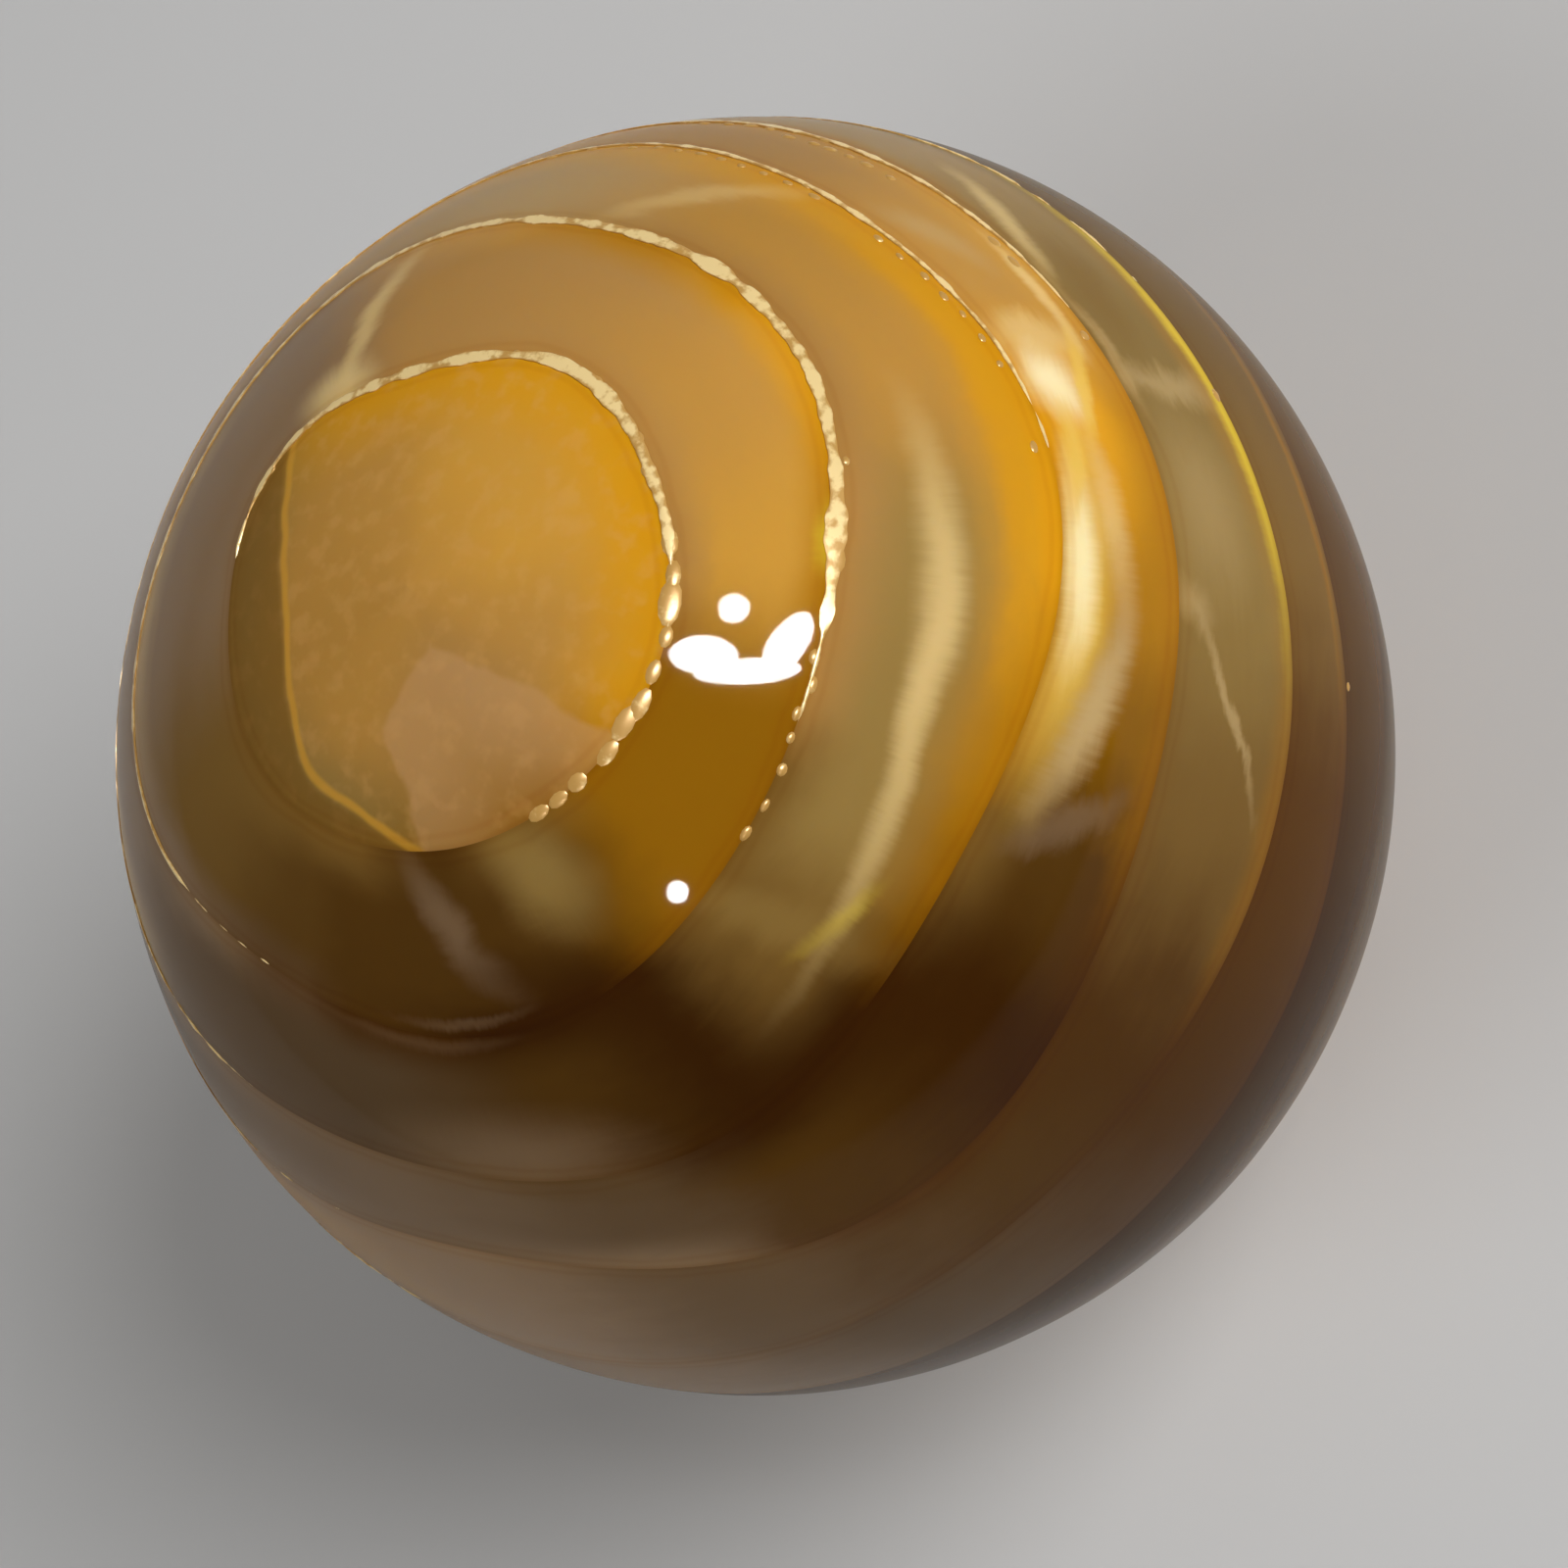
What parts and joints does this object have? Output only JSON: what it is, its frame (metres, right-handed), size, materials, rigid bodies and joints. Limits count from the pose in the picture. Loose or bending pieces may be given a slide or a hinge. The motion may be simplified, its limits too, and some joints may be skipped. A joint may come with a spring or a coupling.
{
  "type": "cue ball",
  "caption": "Polished laminated cue ball of translucent honey-brown resin layers, amber glue sheets and flush gold joint lines.",
  "frame": {"origin": "the centre of the ball", "axes": "+Z is the lamination axis, from the bottom cap up to the small top cap; +X and +Y lie in the plane of the layers"},
  "size_m": [0.0572, 0.0572, 0.0572],
  "materials": {
    "honey_resin": "polished translucent resin",
    "amber_glue": "clear amber",
    "gold_filling": "polished gold grains"
  },
  "bodies": {
    "root": {"top_cap": "honey_resin", "layer_02": "honey_resin", "layer_03": "honey_resin", "layer_04": "honey_resin", "layer_05": "honey_resin", "layer_06": "honey_resin", "layer_07": "honey_resin", "layer_08": "honey_resin", "layer_09": "honey_resin", "layer_10": "honey_resin", "layer_11": "honey_resin", "bottom_cap": "honey_resin", "amber_sheet_01": "amber_glue", "amber_sheet_02": "amber_glue", "amber_sheet_03": "amber_glue", "amber_sheet_04": "amber_glue", "amber_sheet_05": "amber_glue", "amber_sheet_06": "amber_glue", "amber_sheet_07": "amber_glue", "amber_sheet_08": "amber_glue", "amber_sheet_09": "amber_glue", "amber_sheet_10": "amber_glue", "amber_sheet_11": "amber_glue", "gold_rim_01": "gold_filling", "gold_rim_02": "gold_filling", "gold_rim_03": "gold_filling", "gold_rim_04": "gold_filling", "gold_rim_05": "gold_filling", "gold_rim_06": "gold_filling", "gold_rim_07": "gold_filling", "gold_rim_08": "gold_filling", "gold_rim_09": "gold_filling", "gold_rim_10": "gold_filling", "gold_rim_11": "gold_filling"}
  },
  "joints": []
}
